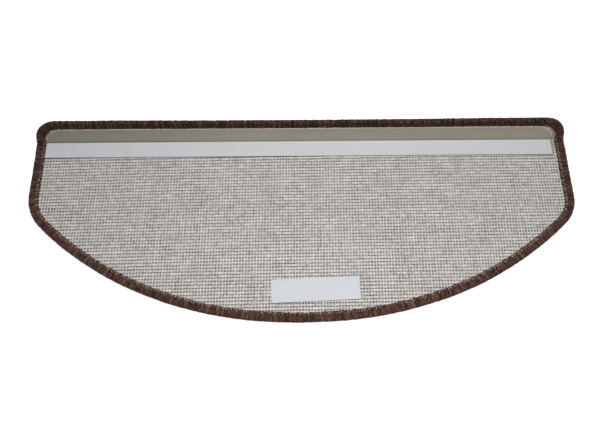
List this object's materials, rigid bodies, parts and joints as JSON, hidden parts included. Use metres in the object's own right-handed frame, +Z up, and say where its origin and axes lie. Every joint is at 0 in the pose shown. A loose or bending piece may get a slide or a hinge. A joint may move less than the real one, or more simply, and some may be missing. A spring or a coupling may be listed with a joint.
{
  "type": "anti slip stair tread mat",
  "caption": "Half-round carpet mat for a stair tread, with a lip that hooks over the step's edge, an angle profile, an overcast edge and adhesive tapes on its back.",
  "frame": {"origin": "on the floor, at the middle of the mat's width and depth, with the mat on its pile and its backing up", "axes": "+X along the crease, +Y from the curved edge to the lip, +Z up, out of the backing"},
  "size_m": [0.65, 0.259, 0.0419],
  "materials": {
    "pile_yarn": "low pile, matt",
    "woven_backing": "coarse open weave, matt",
    "binding_yarn": "overcast melange yarn, matt",
    "beige_plastic": "extruded, satin",
    "tape_adhesive": "matt",
    "liner_paper": "smooth, satin"
  },
  "bodies": {
    "root": {"tufted_carpet": "pile_yarn", "woven_backing": "woven_backing", "edge_binding": "binding_yarn", "angle_profile": "beige_plastic", "front_tape": "tape_adhesive", "front_liner": "liner_paper", "rear_tape": "tape_adhesive", "rear_liner": "liner_paper"}
  },
  "joints": []
}
